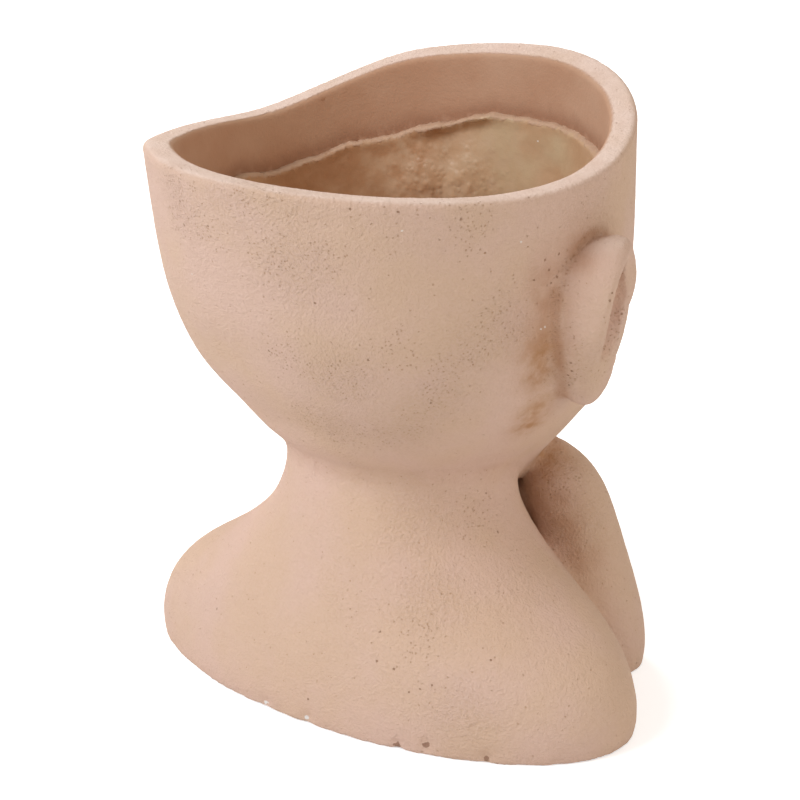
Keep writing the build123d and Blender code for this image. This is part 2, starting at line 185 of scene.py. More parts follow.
PITTED_PIXELS = (
    (480, 345), (455, 370), (440, 395), (505, 320), (420, 425), (380, 440), (320, 425), (570, 372),
    (175, 185), (180, 220), (205, 230), (255, 190), (285, 185), (270, 255), (325, 260), (290, 360),
    (345, 375), (400, 350), (575, 340), (620, 320), (615, 345), (565, 478), (480, 520), (470, 225),
    (420, 640),
)
PITTED_RADIUS = 7.5 * MM

# Small dents and swells of the hand-made form: pixel of the photograph, reach, and shift along the
# picture's right and the world's up
CAST_SHIFTS = (
    ((270, 104), 20 * MM, 0.0, -1.9 * MM),
    ((400, 62), 18 * MM, 0.0, 1.4 * MM),
    ((152, 148), 16 * MM, 0.0, 1.0 * MM),
    ((150, 172), 24 * MM, 1.7 * MM, 0.0),
    ((192, 570), 18 * MM, 2.2 * MM, 0.0),
    ((634, 268), 9 * MM, -3.0 * MM, 0.0),
    ((588, 380), 12 * MM, -2.4 * MM, 0.0),
    ((564, 447), 8 * MM, -2.0 * MM, 0.0),
)
LINING_SHIFTS = (((408, 138), 13 * MM, 0.0, -2.4 * MM),)

# Face, seen from the front, in millimetres. Hills, on both sides of the middle: offset, height, half width,
# half height and rise, where a rise below zero is a hollow.
FACE_HILLS = (
    (15.5, 140.0, 6.5, 9.0, -3.0),
    (27.5, 146.5, 15.0, 4.0, -2.6),
    (27.5, 128.5, 14.0, 4.5, -1.9),
    (41.0, 139.0, 5.0, 8.0, -1.2),
    (27.5, 138.0, 10.5, 5.8, 2.4),
    (26.0, 153.5, 17.0, 3.2, 1.3),
    (10.5, 130.0, 4.8, 13.0, -2.6),
    (14.5, 112.0, 4.8, 11.0, -2.6),
    (15.0, 106.5, 2.0, 5.0, -1.2),
    (9.0, 107.0, 3.4, 3.6, 1.0),
    (5.2, 102.0, 2.7, 1.8, -3.0),
    (3.4, 96.0, 1.5, 4.0, 0.6),
    (5.0, 91.2, 5.4, 2.3, 1.5),
    (17.5, 87.8, 2.8, 2.6, -2.0),
    (5.0, 83.4, 6.8, 2.7, 1.5),
    (0.0, 99.0, 9.0, 2.6, -1.2),
    (0.0, 96.0, 1.9, 4.2, -0.9),
    (0.0, 77.0, 11.0, 3.2, -2.2),
    (0.0, 67.0, 10.0, 6.0, 0.8),
)
# Lines on both sides: offset of the middle, half length, height at the ends, sag, half width and depth
FACE_LINES = (
    (27.5, 12.5, 136.4, 3.6, 1.0, 2.0),
    (27.5, 13.5, 142.2, -2.6, 1.2, 1.2),
    (0.0, 17.5, 88.0, 0.8, 1.0, 2.2),
)
FACE_FRONT = -40 * MM
FACE_FACING = (0.1, 0.6)
FACE_HEIGHTS = (60 * MM, 172 * MM)

# Raw resin inside the bowl
LINING_VOXEL = 0.8 * MM
LINING_TRIANGLES = 120000
# Rounds of smoothing after the remesh and after the shaping
LINING_SMOOTHING = (6, 2)
BOWL_MIDDLE = np.array((0, -4 * MM, 150 * MM))
BOWL_FACING = (0.0, 0.35)
LINE_SECTORS = 180
RAGGED = ((15 * MM, 1.8 * MM), (4.5 * MM, 0.5 * MM))
RAGGED_SEED = 7
RAGGED_REACH = 7 * MM
RAGGED_LIFT = 3.0 * MM
SEAT_FACING = 0.5
SEAT_HEIGHT = 16 * MM
SEAT_REACH = 5 * MM
SEAT_DEPTH = 0.5 * MM
LIP_REACH = 1.7 * MM
LIP_WIDTHS = (0.3 * MM, 5.5 * MM)
LEDGE_PIXELS = ((445, 135), (475, 125), (505, 120), (528, 125))
LEDGE_RADIUS = 9 * MM
LEDGE_SEED = 5
LEDGE_LEVEL = 0.8
LEDGE_SPREAD = 0.4
# Painted shade of a groove above the resin's top edge, and how far below that edge the inner wall fades
GROOVE_SHADE_REACH = 3.4 * MM
INNER_FADE_DEPTH = 4 * MM
LUMPS = ((22 * MM, 1.4 * MM), (9 * MM, 0.35 * MM))
LUMP_FLOOR = -0.2
MOUND_PIXELS = ((432, 176), (462, 184))
MOUND = (13 * MM, 4.0 * MM)
MOUND_TINT = 2
BUBBLE = (3.2 * MM, 0.9 * MM)
BUBBLE_SEED = 3
# Painted shadow under the ledge on the left of the bowl
RESIN_SHADOW_PIXELS = ((300, 180), (335, 180), (370, 165), (400, 150), (345, 160))
YELLOW_PIXELS = ((510, 145), (525, 160), (548, 150), (500, 170))
TONE_RADIUS = 15 * MM

# Materials. A row of patches is the size of a noise, the two levels of a soft step and what it gives there.
PATCH_DETAIL = 4
EDGE_DETAIL = 2
PIT_EDGE_SIZE = 0.3
PIT_EDGE = (0.25, 0.75, 0.55, 1.7)
PIT_SLOPE = (1.0, 0.5)
MARK_EDGE = (0.25, 0.75, 0.6, 1.6)
MARK_CORE = 0.6
MIX_SOCKETS = (0, 6, 7)
MIX_OUTPUT = 2

# Paint of the cast, and the shade and highlight painted on it
PAINT_COLOURS = ((0.695, 0.485, 0.385, 1), (0.68, 0.475, 0.345, 1))
PAINT_PATCHES = (30 * MM, 0.35, 0.65)
SAND_COLOUR = (0.56, 0.35, 0.21, 1)
SAND = (0.8 * MM, 3, 0.6)
SAND_LEVELS = (0.6, 0.35)
SAND_SHARES = (0.12, 0.28)
SAND_INSIDE = 0.2
# Painted highlight on the up-facing rim top, with some paint wear
RIM_HIGHLIGHT_AND_WEAR_COLOUR = (0.82, 0.63, 0.525, 1)
RIM_HIGHLIGHT_AND_WEAR_PATCHES = (8 * MM, 0.3, 0.7, 0.5, 0.9)
# Painted shade in the joint corners and on shaded sides, with a brown wash in the corners
SHADE_AND_WASH_COLOUR = (0.45, 0.23, 0.13, 1)
SHADE_AND_WASH_PATCHES = (9 * MM, 0.3, 0.7, 0.3, 0.75)
# Orange-brown stain, partly painted shade
STAIN_AND_SHADE_COLOUR = (0.43, 0.21, 0.085, 1)
STAIN_AND_SHADE_PATCHES = (3 * MM, 0.25, 0.75, 0.4, 0.95)
# Inner wall: its redder paint, darkened further as painted shade
INNER_PAINT_AND_SHADE_COLOURS = ((0.525, 0.3, 0.185, 1), (0.585, 0.365, 0.24, 1))
INNER_PATCHES = (24 * MM, 0.3, 0.7)
INNER_DETAIL = 5
# Painted shade of the groove above the resin's top edge
GROOVE_SHADE_COLOUR = (0.33, 0.165, 0.095, 1)
GROOVE_SHADE_STRENGTH = 0.8

# Pits and chips: cell size and radius in cells of a scattered pit, and its share of the cells
FINE_PIT = (1.0 * MM, 0.34)
FINE_PIT_SHARES = (0.0, 0.9, 0.03, 0.6)
FINE_PIT_STRENGTH = 0.7
COARSE_PIT = (5 * MM, 0.08)
COARSE_PIT_SHARES = (0.0, 1.0, 0.07, 0.3)
PIT_COLOUR = (0.46, 0.24, 0.12, 1)
PLACED_PIT_COLOUR = (0.30, 0.15, 0.08, 1)
PIT_STRENGTH = 0.7
PIT_DEPTH = 0.3
CHIP_COLOUR = (0.25, 0.125, 0.075, 1)
CHIP_STRENGTH = 0.75
BARE_COLOUR = (0.83, 0.79, 0.75, 1)
FLECK_STRENGTH = 0.7

# Relief and gloss of the cast
GRAIN_SHARES = (0.6, 0.95)
PEEL = (2.2 * MM, 2)
PEEL_SHARE = 0.5
RELIEF_INSIDE = 0.3
RELIEF_DEPTH = 0.75 * MM
CAST_ROUGHNESS = (6 * MM, 0.3, 0.7, 0.78, 0.92)
CAST_SPECULAR = 0.22

# Resin
RESIN_COLOURS = ((0.48, 0.255, 0.125, 1), (0.60, 0.385, 0.225, 1))
RESIN_PATCHES = (22 * MM, 0.3, 0.7)
# Painted shadow under the ledge on the left of the bowl
RESIN_SHADOW_COLOUR = (0.42, 0.205, 0.095, 1)
RESIN_SHADOW_PATCHES = (12 * MM, 0.3, 0.7, 0.4, 0.8)
YELLOW_COLOUR = (0.62, 0.49, 0.30, 1)
YELLOW_PATCHES = (16 * MM, 0.3, 0.7, 0.3, 0.9)
PALE_COLOUR = (0.63, 0.45, 0.29, 1)
PALE_PATCHES = (5 * MM, 0.4, 0.65, 0.1, 0.7)
CRUST_COLOUR = (0.56, 0.365, 0.24, 1)
CRUST_PATCHES = (3 * MM, 0.2, 0.8, -0.9, 0.9)
CRUST_DEPTHS = (1.7, 0.5)
CRUST_SIZE = 1.2 * MM
CRUST_RELIEF = 0.6
SPECK = (12 * MM, 0.05, 0.08)
SPECK_COLOUR = (0.84, 0.79, 0.70, 1)
BUBBLE_CELL = 2.2 * MM
BUBBLE_SLOPE = (0.6, 0.0)
BUBBLE_LEVELS = (0.5, 1.0)
BUBBLE_RELIEF = 0.25
SWELL_SIZE = 4 * MM
SWELL_RELIEF = 0.5
SWELL_DEPTH = 0.6 * MM
RESIN_ROUGHNESS = (0.38, 0.8)
RESIN_SPECULAR = 0.4

# Rubber
RUBBER_COLOURS = ((0.05, 0.045, 0.042, 1), (0.095, 0.088, 0.082, 1))
RUBBER_PATCHES = (3 * MM, 0.3, 0.75)
RUBBER_GRAIN = 0.5 * MM
RUBBER_DEPTH = 0.06 * MM
RUBBER_ROUGHNESS = (0.5, 0.72)


def link(name, mesh):
    piece = bpy.data.objects.new(name, mesh)
    bpy.context.scene.collection.objects.link(piece)
    return piece


def joined_copy(name, nodes):
    """One new piece holding copies of the meshes of some solids."""
    bm = bmesh.new()
    for node in nodes:
        bm.from_mesh(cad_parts[node].data)
    mesh = bpy.data.meshes.new(name)
    bm.to_mesh(mesh)
    bm.free()
    return link(name, mesh)


def apply_modifiers(piece):
    """Puts the piece's modified mesh in place of its own."""
    graph = bpy.context.evaluated_depsgraph_get()
    mesh = bpy.data.meshes.new_from_object(piece.evaluated_get(graph))
    piece.modifiers.clear()
    piece.data = mesh


def remesh(piece, voxel):
    modifier = piece.modifiers.new("voxels", "REMESH")
    modifier.mode = "VOXEL"
    modifier.voxel_size = voxel
    apply_modifiers(piece)


def decimate(piece, triangles):
    mesh = piece.data
    mesh.calc_loop_triangles()
    modifier = piece.modifiers.new("thin_out", "DECIMATE")
    modifier.ratio = min(1.0, triangles / len(mesh.loop_triangles))
    apply_modifiers(piece)


def read(collection, name, width):
    values = np.empty(len(collection) * width, np.float32)
    collection.foreach_get(name, values)
    return values.reshape(-1, width).astype(float)


def points_of(piece):
    return read(piece.data.vertices, "co", 3)


def normals_of(piece):
    return read(piece.data.vertices, "normal", 3)


def edges_of(piece):
    edges = np.empty(len(piece.data.edges) * 2, np.int32)
    piece.data.edges.foreach_get("vertices", edges)
    return edges.reshape(-1, 2)


def set_points(piece, points):
    piece.data.vertices.foreach_set("co", points.astype(np.float32).ravel())
    piece.data.update()


def neighbour_means(points, edges):
    """The mean of each point's neighbours, or the point itself where it has none."""
    first, second = edges[:, 0], edges[:, 1]
    count = len(points)
    number = np.bincount(first, minlength=count) + np.bincount(second, minlength=count)
    total = np.empty_like(points)
    for axis in range(points.shape[1]):
        values = points[:, axis]
        total[:, axis] = np.bincount(first, values[second], count)
        total[:, axis] += np.bincount(second, values[first], count)
    return np.where(number[:, None] > 0, total / np.maximum(number, 1)[:, None], points)


def smooth(piece, rounds, weight=1.0):
    """Evens out the surface and keeps its size: each round shrinks a little, then swells back."""
    edges = edges_of(piece)
    points = points_of(piece)
    weight = np.broadcast_to(np.asarray(weight, float), len(points))[:, None]
    for _ in range(rounds):
        for step in SMOOTH_STEPS:
            points = points + step * weight * (neighbour_means(points, edges) - points)
    set_points(piece, points)


def keep_largest(piece):
    """Deletes the small closed bubbles that the remesh leaves in the bond gaps."""
    edges = edges_of(piece)
    label = np.arange(len(piece.data.vertices))
    while True:
        low = np.minimum(label[edges[:, 0]], label[edges[:, 1]])
        spread = label.copy()
        np.minimum.at(spread, edges[:, 0], low)
        np.minimum.at(spread, edges[:, 1], low)
        spread = spread[spread]
        if np.array_equal(spread, label):
            break
        label = spread
    names, sizes = np.unique(label, return_counts=True)
    loose = np.flatnonzero(label != names[np.argmax(sizes)])
    if len(loose):
        bm = bmesh.new()
        bm.from_mesh(piece.data)
        bm.verts.ensure_lookup_table()
        bmesh.ops.delete(bm, geom=[bm.verts[index] for index in loose], context="VERTS")
        bm.to_mesh(piece.data)
        bm.free()


def tree_of(mesh):
    return BVHTree.FromPolygons([v.co for v in mesh.vertices], [p.vertices for p in mesh.polygons])


def nearness(points, node, reach):
    """How near points are to a solid: 1 on it, down to 0 at the reach from it."""
    low, high = (np.array(corner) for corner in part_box(node))
    inside = np.all((points > low - reach) & (points < high + reach), axis=1)
    tree = tree_of(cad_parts[node].data)
    near = np.zeros(len(points))
    for index in np.flatnonzero(inside):
        gap = tree.find_nearest(points[index], reach)[3]
        if gap is not None:
            near[index] = 1 - gap / reach
    return near


def joint_weight(points, first, second, reach):
    """1 in the outer corner between two solids, down to 0 at the reach from either."""
    small = nearness(points, second, reach)
    near = np.flatnonzero(small > 0)
    weight = np.zeros(len(points))
    weight[near] = np.minimum(small[near], nearness(points[near], first, reach))
    if second.endswith("ear"):
        weight[np.abs(points[:, 0]) < EAR_ROOT_OFFSET] = 0
    if second == "bust_base":
        weight[np.hypot(*(points[:, :2] - NECK_CENTRE).T) < NECK_CORE_RADIUS] = 0
    return np.clip(JOINT_GAIN * weight, 0, 1)


def filler_weight(points, first, second, reach):
    """Where filler lies in a joint. Behind the ears there is more of it lower down."""
    weight = joint_weight(points, first, second, reach)
    if second.endswith("ear"):
        weight *= smoothstep(EAR_CRISP_HEIGHT, EAR_SOFT_HEIGHT, points[:, 2])
    return weight


def fill_corner(piece, weight, rounds):
    """Rounds off a hollow corner: its points move outwards only."""
    edges = edges_of(piece)
    edges = edges[(weight[edges[:, 0]] > 0) | (weight[edges[:, 1]] > 0)]
    active = np.flatnonzero(weight > 0)
    places = np.unique(np.concatenate((edges.ravel(), active)))
    renumbered = np.zeros(len(weight), int)
    renumbered[places] = np.arange(len(places))
    edges = renumbered[edges]
    points = points_of(piece)
    for turn in range(rounds):
        if turn % NORMALS_ROUNDS == 0:
            set_points(piece, points)
            normals = normals_of(piece)[places]
        local = points[places]
        rise = np.sum((neighbour_means(local, edges) - local) * normals, axis=1)
        points[places] = local + (weight[places] * np.maximum(rise, 0))[:, None] * normals
    set_points(piece, points)


def snap(piece, tree, reach, keep):
    """Brings the points back to the solids' own surface, except where keep is 1."""
    points = points_of(piece)
    for index in np.flatnonzero(keep < 1):
        place = tree.find_nearest(points[index], reach)[0]
        if place is not None:
            points[index] += (1 - keep[index]) * (np.array(place) - points[index])
    set_points(piece, points)


def noise_at(points, size, seed):
    """Smooth noise between -1 and 1 with features of about the given size."""
    return np.array([noise.noise(Vector(p)) for p in points / size + seed * SEED_STEP])


def smoothstep(low, high, value):
    along = np.clip((value - low) / (high - low), 0, 1)
    return along * along * (3 - 2 * along)


# Places seen in the photograph
def camera_back():
    flat = math.cos(CAMERA_ELEVATION)
    return Vector(
        (
            math.sin(CAMERA_AZIMUTH) * flat,
            -math.cos(CAMERA_AZIMUTH) * flat,
            math.sin(CAMERA_ELEVATION),
        )
    )


def seen_at(tree, pixel):
    """The place on a surface that a pixel of the photograph shows."""
    back = camera_back()
    right = UP.cross(back).normalized()
    up = back.cross(right)
    across, down = (2 * value / PHOTO_PIXELS - 1 for value in pixel)
    half = CAMERA_SENSOR / (2 * CAMERA_LENS)
    ray = (across * half * right - down * half * up - back).normalized()
    return tree.ray_cast(CAMERA_TARGET + CAMERA_DISTANCE * back, ray)[0]


def spots(points, pixels, radius, tree):
    """1 at the places that some pixels show, fading out over the radius."""
    mask = np.zeros(len(points))
    for pixel in pixels:
        centre = seen_at(tree, pixel)
        if centre is not None:
            gap = np.linalg.norm(points - np.array(centre), axis=1)
            mask = np.maximum(mask, np.exp(-((gap / radius) ** 2)))
    return mask


def shifted(points, rows, tree):
    """The points, moved a little near places that some pixels show."""
    right = np.array(UP.cross(camera_back()).normalized())
    moved = points.copy()
    for pixel, reach, across, rise in rows:
        share = spots(points, (pixel,), reach, tree)[:, None]
        moved += share * (across * right + np.array((0, 0, rise)))
    return moved


def store(piece, name, values):
    """Keeps a number for each point of a piece, for its material."""
    attribute = piece.data.attributes.new(name, "FLOAT", "POINT")
    attribute.data.foreach_set("value", np.asarray(values, np.float32))


def keep_in_box(points):
    low, high = (np.array(corner) for corner in cad_box)
    return np.clip(points, low, high)


def bowl_facing(points, normals):
    """1 where a surface faces the middle of the bowl, 0 where it faces away."""
    way = BOWL_MIDDLE - points
    way /= np.linalg.norm(way, axis=1)[:, None]
    return smoothstep(*BOWL_FACING, np.sum(way * normals, axis=1))


def bearing(points):
    return np.arctan2(points[:, 1] - BOWL_MIDDLE[1], points[:, 0] - BOWL_MIDDLE[0])


def top_line(points):
    """Bearings round the bowl and the greatest height of some points near each."""
    number = ((bearing(points) / (2 * math.pi) + 0.5) * LINE_SECTORS).astype(int) % LINE_SECTORS
    heights = np.full(LINE_SECTORS, -np.inf)
    np.maximum.at(heights, number, points[:, 2])
    return ((np.arange(LINE_SECTORS) + 0.5) / LINE_SECTORS - 0.5) * 2 * math.pi, heights


def height_at(line, points):
    return np.interp(bearing(points), *line, period=2 * math.pi)


# Raw resin inside the bowl
def seat(points, chosen):
    """Presses some points of the coat's back against the wall of the bowl."""
    wall = tree_of(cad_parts["head_bowl"].data)
    for index in np.flatnonzero(chosen):
        place, normal = wall.find_nearest(points[index], SEAT_REACH)[:2]
        if place is not None:
            points[index] = place - SEAT_DEPTH * normal


def make_lining():
    first_rounds, last_rounds = LINING_SMOOTHING
    lining = joined_copy("raw_lining", ("resin_lining",))
    remesh(lining, LINING_VOXEL)
    keep_largest(lining)
    smooth(lining, first_rounds)
    points = points_of(lining)
    normals = normals_of(lining)
    facing = bowl_facing(points, normals)
    line = top_line(points)
    below = height_at(line, points) - points[:, 2]
    tree = tree_of(lining.data)

    rise = np.zeros(len(points))
    for seed, (size, depth) in enumerate(LUMPS):
        rise += depth * np.maximum(noise_at(points, size, seed), LUMP_FLOOR)
    mound = spots(points, MOUND_PIXELS, MOUND[0], tree)
    bubble = np.maximum(noise_at(points, BUBBLE[0], BUBBLE_SEED), 0)
    rise += mound * (MOUND[1] + BUBBLE[1] * bubble)
    moved = points + (rise * facing)[:, None] * normals

    narrow, wide = LIP_WIDTHS
    uneven = LEDGE_LEVEL + LEDGE_SPREAD * noise_at(points, RAGGED[0][0], LEDGE_SEED)
    ledge = spots(points, LEDGE_PIXELS, LEDGE_RADIUS, tree) * uneven
    lip = narrow + (wide - narrow) * ledge
    lip = lip * np.exp(-((below / LIP_REACH) ** 2))
    inwards = BOWL_MIDDLE - points
    inwards[:, 2] = 0
    inwards /= np.linalg.norm(inwards, axis=1)[:, None]
    moved += (lip * facing)[:, None] * inwards
    ragged = np.zeros(len(points))
    for seed, (size, depth) in enumerate(RAGGED, RAGGED_SEED):
        ragged += depth * noise_at(points, size, seed)
    moved[:, 2] += (ragged + RAGGED_LIFT) * np.exp(-below / RAGGED_REACH)
    moved += shifted(points, LINING_SHIFTS, tree) - points
    seat(moved, (facing < SEAT_FACING) & (below < SEAT_HEIGHT))
    set_points(lining, moved)
    smooth(lining, last_rounds)
    decimate(lining, LINING_TRIANGLES)
    lining.data.shade_smooth()

    points = points_of(lining)
    line = top_line(points)
    store(lining, "below", (height_at(line, points) - points[:, 2]) / MM)
    tree = tree_of(lining.data)
    store(lining, "mound", spots(points, MOUND_PIXELS, MOUND_TINT * MOUND[0], tree))
    # Painted shadow under the ledge on the left of the bowl
    store(lining, "resin_shadow", spots(points, RESIN_SHADOW_PIXELS, TONE_RADIUS, tree))
    store(lining, "yellow", spots(points, YELLOW_PIXELS, TONE_RADIUS, tree))
    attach(lining, "body")
    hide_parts("resin_lining")
    return lining, line


# Cast body
def face_rise(x, z):
    """How far the carving of the face stands out, in millimetres, at places seen from the front."""
    side = np.abs(x)
    rise = np.zeros(len(x))
    for offset, height, half_width, half_height, lift in FACE_HILLS:
        rise += lift * np.exp(-(((side - offset) / half_width) ** 2) - ((z - height) / half_height) ** 2)
    for offset, half_length, height, sag, half_width, depth in FACE_LINES:
        along = np.clip((side - offset) / half_length, -1, 1)
        line = height - sag * (1 - along**2)
        rise -= depth * (1 - along**4) * np.exp(-(((z - line) / half_width) ** 2))
    return rise


def carve_face(cast):
    points = points_of(cast)
    facing = smoothstep(*FACE_FACING, -normals_of(cast)[:, 1])
    low, high = FACE_HEIGHTS
    front = (points[:, 1] < FACE_FRONT) & (points[:, 2] > low) & (points[:, 2] < high) & (facing > 0)
    x, z = points[front, 0] / MM, points[front, 2] / MM
    points[front, 1] -= MM * face_rise(x, z) * facing[front]
    set_points(cast, points)


def weather(cast, line):
    """Waves, grain, chips and dents, as the casting and its use left them."""
    points = points_of(cast)
    normals = normals_of(cast)
    outside = 1 - bowl_facing(points, normals) * (points[:, 2] > height_at(line, points) - LIP_REACH)
    tree = tree_of(cast.data)
    rise = WAVE[1] * noise_at(points, WAVE[0], WAVE_SEED)
    grain = GRAIN[1] * noise_at(points, GRAIN[0], GRAIN_SEED)
    rise += grain * (GRAIN_INSIDE + (1 - GRAIN_INSIDE) * outside)
    foot = np.exp(-((points[:, 2] / FOOT_HEIGHT) ** 2))
    rise += FOOT_WAVE[1] * noise_at(points, FOOT_WAVE[0], FOOT_SEED) * foot
    rise -= CHIP[1] * spots(points, CHIP_PIXELS + BARE_CHIP_PIXELS, CHIP[0], tree)
    points = shifted(points, CAST_SHIFTS, tree)
    set_points(cast, keep_in_box(points + rise[:, None] * normals))


def store_marks(cast, line):
    """Where the material shows the inner wall, painted shade and highlight, rim wear, joint wash, pits and
    stains.
    """
    points = points_of(cast)
    normals = normals_of(cast)
    tree = tree_of(cast.data)
    above = points[:, 2] - height_at(line, points)
    inner = bowl_facing(points, normals) * smoothstep(-INNER_FADE_DEPTH, 0, above)
    # Painted shade and brown wash in the joint corners
    crease = np.zeros(len(points))
    for first, second, reach, _, shade_and_wash in JOINTS:
        crease = np.maximum(crease, shade_and_wash * joint_weight(points, first, second, SHADE_REACH_SHARE * reach))
    patches = smoothstep(*ROUGH_PATCH_LEVELS, noise_at(points, ROUGH_PATCH_SIZE, ROUGH_PATCH_SEED))
    smoother = 1 - spots(points, SMOOTH_PIXELS, ROUGH_RADIUS, tree)
    rough = spots(points, ROUGH_PIXELS, ROUGH_RADIUS, tree)
    rough = np.maximum(rough, ROUGH_PATCH_SHARE * patches) * smoother
    pitted = spots(points, PITTED_PIXELS, PITTED_RADIUS, tree)
    pitted = np.maximum(pitted, PITTED_PATCH_SHARE * patches) * smoother
    # Up-facing rim top, for its painted highlight and paint wear
    rim = smoothstep(*RIM_FACING, normals[:, 2]) * (points[:, 2] > RIM_HEIGHT) * (1 - inner)
    store(cast, "inner", inner)
    # Painted shade of the groove above the resin's top edge
    store(cast, "groove_shade", inner * np.exp(-((above / GROOVE_SHADE_REACH) ** 2)))
    store(cast, "crease", crease)
    store(cast, "rim", rim)
    store(cast, "rough", np.maximum(rough, CREASE_SHARE * crease) * (1 - inner))
    store(cast, "pitted", np.maximum(pitted, CREASE_SHARE * crease) * (1 - inner))
    # Orange-brown stain, partly painted shade
    store(cast, "stain_and_shade", spots(points, STAIN_AND_SHADE_PIXELS, STAIN_AND_SHADE_RADIUS, tree))
    # Painted shade on the forearm's shaded side and behind the ear
    store(cast, "side_shade", spots(points, SIDE_SHADE_PIXELS, SIDE_SHADE_RADIUS, tree))


def make_cast(line):
    remeshed_rounds, snapped_rounds, filled_rounds = CAST_SMOOTHING
    cast = joined_copy("cast_body", CAST_NODES)
    solids = tree_of(cast.data)
    remesh(cast, CAST_VOXEL)
    keep_largest(cast)
    smooth(cast, remeshed_rounds)
    points = points_of(cast)
    weights = [filler_weight(points, first, second, reach) for first, second, reach, _, _ in JOINTS]
    snap(cast, solids, CAST_VOXEL, np.clip(JOINT_GAIN * np.max(weights, axis=0), 0, 1))
    smooth(cast, snapped_rounds)
    for weight, (_, _, _, rounds, _) in zip(weights, JOINTS):
        fill_corner(cast, weight, rounds)
    smooth(cast, filled_rounds)
    carve_face(cast)
    weather(cast, line)
    decimate(cast, CAST_TRIANGLES)
    set_points(cast, keep_in_box(points_of(cast)))
    cast.data.shade_smooth()
    store_marks(cast, line)
    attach(cast, "body")
    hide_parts(*CAST_NODES)
    return cast


# Materials
class Shader:
    """A material and short ways to add nodes to it."""

    def __init__(self, name):
        self.material = bpy.data.materials.new(name)
        self.material.use_nodes = True
        self.tree = self.material.node_tree
        self.surface = self.tree.nodes["Principled BSDF"]
        self.place = self.tree.nodes.new("ShaderNodeTexCoord").outputs["Object"]

    def join(self, value, socket):
        """Sets a socket to a constant or to another node's output."""
        if isinstance(value, bpy.types.NodeSocket):
            self.tree.links.new(value, socket)
        else:
            socket.default_value = value

    def attribute(self, name):
        node = self.tree.nodes.new("ShaderNodeAttribute")
        node.attribute_name = name
        return node.outputs["Fac"]

    def noise(self, size, detail=3, rough=0.5):
        """Noise from 0 to 1 with features of about the given size in metres."""
        node = self.tree.nodes.new("ShaderNodeTexNoise")
        self.join(self.place, node.inputs["Vector"])
        node.inputs["Scale"].default_value = 1 / size
        node.inputs["Detail"].default_value = detail
        node.inputs["Roughness"].default_value = rough
        return node.outputs["Fac"]

    def cells(self, size):
        """Distance to the nearest of scattered points, in cell sizes, and a random number for each cell."""
        node = self.tree.nodes.new("ShaderNodeTexVoronoi")
        self.join(self.place, node.inputs["Vector"])
        node.inputs["Scale"].default_value = 1 / size
        split = self.tree.nodes.new("ShaderNodeSeparateColor")
        self.join(node.outputs["Color"], split.inputs["Color"])
        return node.outputs["Distance"], split.outputs["Red"]

    def math(self, operation, first, second):
        node = self.tree.nodes.new("ShaderNodeMath")
        node.operation = operation
        self.join(first, node.inputs[0])
        self.join(second, node.inputs[1])
        return node.outputs[0]

    def step(self, value, low, high, to_low=0.0, to_high=1.0):
        """A soft step of a value from one level to another."""
        node = self.tree.nodes.new("ShaderNodeMapRange")
        node.interpolation_type = "SMOOTHSTEP"
        for name, number in (
            ("Value", value), ("From Min", low), ("From Max", high), ("To Min", to_low), ("To Max", to_high)
        ):
            self.join(number, node.inputs[name])
        return node.outputs["Result"]

    def times(self, first, second):
        return self.math("MULTIPLY", first, second)

    def largest(self, first, second):
        return self.math("MAXIMUM", first, second)

    def patches(self, size, low, high, to_low=0.0, to_high=1.0, detail=PATCH_DETAIL):
        """Soft patches of about the given size in metres."""
        return self.step(self.noise(size, detail), low, high, to_low, to_high)

    def mix(self, factor, first, second):
        node = self.tree.nodes.new("ShaderNodeMix")
        node.data_type = "RGBA"
        for place, value in zip(MIX_SOCKETS, (factor, first, second)):
            self.join(value, node.inputs[place])
        return node.outputs[MIX_OUTPUT]

    def pits(self, size, radius, share):
        """Uneven pits in a share of the cells of the given size, radius in cells; 1 in a pit."""
        distance, chance = self.cells(size)
        chosen = self.math("LESS_THAN", chance, share)
        uneven = self.times(distance, self.patches(PIT_EDGE_SIZE * size, *PIT_EDGE, detail=EDGE_DETAIL))
        depth = self.step(self.math("DIVIDE", uneven, radius), *PIT_SLOPE)
        return self.times(chosen, depth)

    def marks(self, places, radius):
        """Small uneven marks at given places; 1 in a mark."""
        nearest = 1.0
        for place in places:
            node = self.tree.nodes.new("ShaderNodeVectorMath")
            node.operation = "DISTANCE"
            self.join(self.place, node.inputs[0])
            node.inputs[1].default_value = place
            nearest = self.math("MINIMUM", node.outputs["Value"], nearest)
        uneven = self.times(nearest, self.patches(radius, *MARK_EDGE, detail=EDGE_DETAIL))
        return self.step(uneven, radius, MARK_CORE * radius)

    def bump(self, height, depth):
        """Bump from a height between 0 and 1 and its depth in metres."""
        node = self.tree.nodes.new("ShaderNodeBump")
        node.inputs["Strength"].default_value = 1.0
        node.inputs["Distance"].default_value = depth
        self.join(height, node.inputs["Height"])
        self.join(node.outputs["Normal"], self.surface.inputs["Normal"])


def seen_places(tree, pixels):
    return [place for place in (seen_at(tree, pixel) for pixel in pixels) if place is not None]


